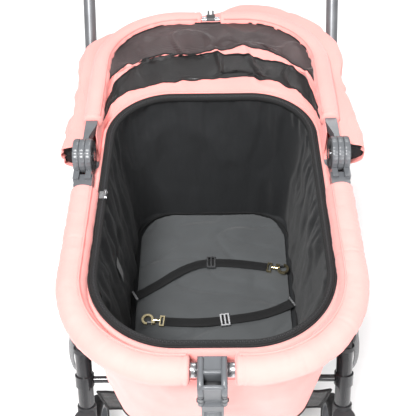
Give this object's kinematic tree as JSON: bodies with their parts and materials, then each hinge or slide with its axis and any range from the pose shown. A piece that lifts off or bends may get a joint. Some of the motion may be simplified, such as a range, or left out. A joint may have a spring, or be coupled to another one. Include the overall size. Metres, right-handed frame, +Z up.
{
  "type": "pet stroller",
  "caption": "Pet stroller: open padded fabric bed with fold-back mesh hood and tether leashes on a folding four-wheel tube frame with swivel front casters, basket and push handle.",
  "frame": {"origin": "on the ground, centred between the left and right wheels and halfway along the overall length", "axes": "+X across the stroller, -Y towards the front casters, +Y towards the push handle, +Z up"},
  "size_m": [0.58, 1.111, 1.017],
  "materials": {
    "black_plastic": "fine moulded texture",
    "board": "fibre board",
    "cushion_fabric": "coarse woven polyester",
    "foam": "soft foam sleeve",
    "frame_gloss": "satin black powder coat",
    "frame_grey": "grey metallic lacquer",
    "grey_plastic": "semi-gloss moulded",
    "liner_fabric": "plain woven polyester",
    "mesh_fabric": "open knitted mesh",
    "pink_fabric": "plain woven polyester",
    "spring_brass": "plated",
    "steel": "bright zinc",
    "tyre": "moulded EVA tread",
    "webbing": "ribbed webbing"
  },
  "bodies": {
    "chassis": {"side_beams": "frame_gloss", "fold_hubs": "black_plastic", "handle_hubs": "black_plastic", "cross_tubes": "frame_gloss", "rear_pivot_mounts": "black_plastic", "frame_bolts": "steel", "bed_sockets": "black_plastic", "basket_wire": "frame_gloss", "storage_basket": "mesh_fabric"},
    "front_legs": {"front_legs": "frame_gloss", "leg_heads": "black_plastic", "leg_brace": "frame_gloss", "caster_housings": "black_plastic", "side_loops": "webbing", "basket_front": "mesh_fabric"},
    "drag_links": {"drag_links": "frame_gloss"},
    "rear_legs": {"rear_legs": "frame_gloss", "rear_axle": "steel"},
    "caster_left": {"caster_fork_left": "black_plastic"},
    "caster_right": {"caster_fork_right": "black_plastic"},
    "front_wheel_left": {"front_tyre_left": "tyre", "front_rim_left": "grey_plastic"},
    "front_wheel_right": {"front_tyre_right": "tyre", "front_rim_right": "grey_plastic"},
    "rear_wheel_left": {"rear_tyre_left": "tyre", "rear_rim_left": "grey_plastic"},
    "rear_wheel_right": {"rear_tyre_right": "tyre", "rear_rim_right": "grey_plastic"},
    "brake": {"brake_pedal": "black_plastic"},
    "handle": {"handle_tube": "frame_grey", "handle_grip": "foam"},
    "fold_triggers": {"fold_triggers": "black_plastic"},
    "release_left": {"release_button_left": "grey_plastic"},
    "release_right": {"release_button_right": "grey_plastic"},
    "bed": {"rim_tube_front": "frame_gloss", "rim_tube_rear": "frame_gloss", "rim_pad": "pink_fabric", "bed_shell": "pink_fabric", "bed_liner": "liner_fabric", "base_board": "board", "floor_cushion": "cushion_fabric", "zipper_tape": "webbing", "hinge_plates": "grey_plastic", "hinge_pins": "steel", "hood_bundle": "pink_fabric", "latch_housing": "grey_plastic", "bed_tongues": "black_plastic", "tether_strap_left": "webbing", "tether_strap_right": "webbing", "strap_hardware": "steel", "snap_hooks": "spring_brass"},
    "snap_gate_left": {"snap_gate_left": "steel"},
    "snap_gate_right": {"snap_gate_right": "steel"},
    "zip_slider": {"zip_slider": "steel"},
    "zip_pull": {"zip_pull": "steel"},
    "latch_lever": {"latch_lever": "grey_plastic"},
    "hood_bow": {"bow_arms": "grey_plastic", "bow_tube": "steel", "bow_sleeve": "pink_fabric", "bow_catch": "black_plastic"}
  },
  "joints": [
    {"name": "frame_fold", "type": "hinge", "parent": "chassis", "child": "front_legs", "pos_m": [0, -0.2595, 0.385], "axis": [1, 0, 0], "range_deg": [0, 32]},
    {"name": "rear_leg_fold", "type": "hinge", "parent": "chassis", "child": "rear_legs", "pos_m": [0, 0.0455, 0.53424], "axis": [1, 0, 0], "range_deg": [-24, 0]},
    {"name": "drag_link_pivot", "type": "hinge", "parent": "front_legs", "child": "drag_links", "pos_m": [0, -0.2495, 0.43], "axis": [1, 0, 0], "range_deg": [-34, 0]},
    {"name": "caster_swivel_left", "type": "hinge", "parent": "front_legs", "child": "caster_left", "pos_m": [-0.258, -0.3715, 0.196], "axis": [0, 0, 1], "continuous": true},
    {"name": "front_wheel_spin_left", "type": "hinge", "parent": "caster_left", "child": "front_wheel_left", "pos_m": [-0.258, -0.3365, 0.088], "axis": [1, 0, 0], "continuous": true},
    {"name": "caster_swivel_right", "type": "hinge", "parent": "front_legs", "child": "caster_right", "pos_m": [0.258, -0.3715, 0.196], "axis": [0, 0, 1], "continuous": true},
    {"name": "front_wheel_spin_right", "type": "hinge", "parent": "caster_right", "child": "front_wheel_right", "pos_m": [0.258, -0.3365, 0.088], "axis": [1, 0, 0], "continuous": true},
    {"name": "rear_wheel_spin_left", "type": "hinge", "parent": "rear_legs", "child": "rear_wheel_left", "pos_m": [-0.268, 0.2505, 0.12], "axis": [1, 0, 0], "continuous": true},
    {"name": "rear_wheel_spin_right", "type": "hinge", "parent": "rear_legs", "child": "rear_wheel_right", "pos_m": [0.268, 0.2505, 0.12], "axis": [1, 0, 0], "continuous": true},
    {"name": "brake_lift", "type": "hinge", "parent": "rear_legs", "child": "brake", "pos_m": [0, 0.21521, 0.15602], "axis": [1, 0, 0], "range_deg": [0, 25]},
    {"name": "handle_fold", "type": "hinge", "parent": "chassis", "child": "handle", "pos_m": [0, 0.2555, 0.637], "axis": [-1, 0, 0], "range_deg": [0, 120]},
    {"name": "fold_trigger_pull", "type": "slide", "parent": "handle", "child": "fold_triggers", "axis": [0, 0.6148, 0.7886], "range_m": [0, 0.012], "stiffness_N_per_m": 400},
    {"name": "release_press_left", "type": "slide", "parent": "chassis", "child": "release_left", "axis": [1, 0, 0], "range_m": [0, 0.003], "stiffness_N_per_m": 600},
    {"name": "release_press_right", "type": "slide", "parent": "chassis", "child": "release_right", "axis": [-1, 0, 0], "range_m": [0, 0.003], "stiffness_N_per_m": 600},
    {"name": "bed_lift", "type": "slide", "parent": "chassis", "child": "bed", "axis": [0, 0, 1], "range_m": [0, 0.25]},
    {"name": "snap_gate_swing_left", "type": "hinge", "parent": "bed", "child": "snap_gate_left", "pos_m": [0.13523, -0.10873, 0.3963], "axis": [0, 0, -1], "range_deg": [0, 20], "stiffness_Nm_per_rad": 0.02},
    {"name": "snap_gate_swing_right", "type": "hinge", "parent": "bed", "child": "snap_gate_right", "pos_m": [-0.11889, -0.24485, 0.3963], "axis": [0, 0, -1], "range_deg": [0, 20], "stiffness_Nm_per_rad": 0.02},
    {"name": "zip_run", "type": "slide", "parent": "bed", "child": "zip_slider", "axis": [0, 1, 0], "range_m": [-0.14, 0.12]},
    {"name": "zip_pull_swing", "type": "hinge", "parent": "zip_slider", "child": "zip_pull", "pos_m": [-0.1805, -0.1795, 0.6995], "axis": [0, -1, 0], "range_deg": [0, 100]},
    {"name": "latch_release", "type": "hinge", "parent": "bed", "child": "latch_lever", "pos_m": [0, -0.5445, 0.665], "axis": [-1, 0, 0], "range_deg": [0, 35], "stiffness_Nm_per_rad": 0.15},
    {"name": "hood_swing", "type": "hinge", "parent": "bed", "child": "hood_bow", "pos_m": [0, -0.1095, 0.72], "axis": [1, 0, 0], "range_deg": [0, 168]}
  ],
  "couplings": [
    {"joint": "rear_leg_fold", "follows": "frame_fold", "ratio": -0.75},
    {"joint": "drag_link_pivot", "follows": "frame_fold", "ratio": -1.038}
  ]
}
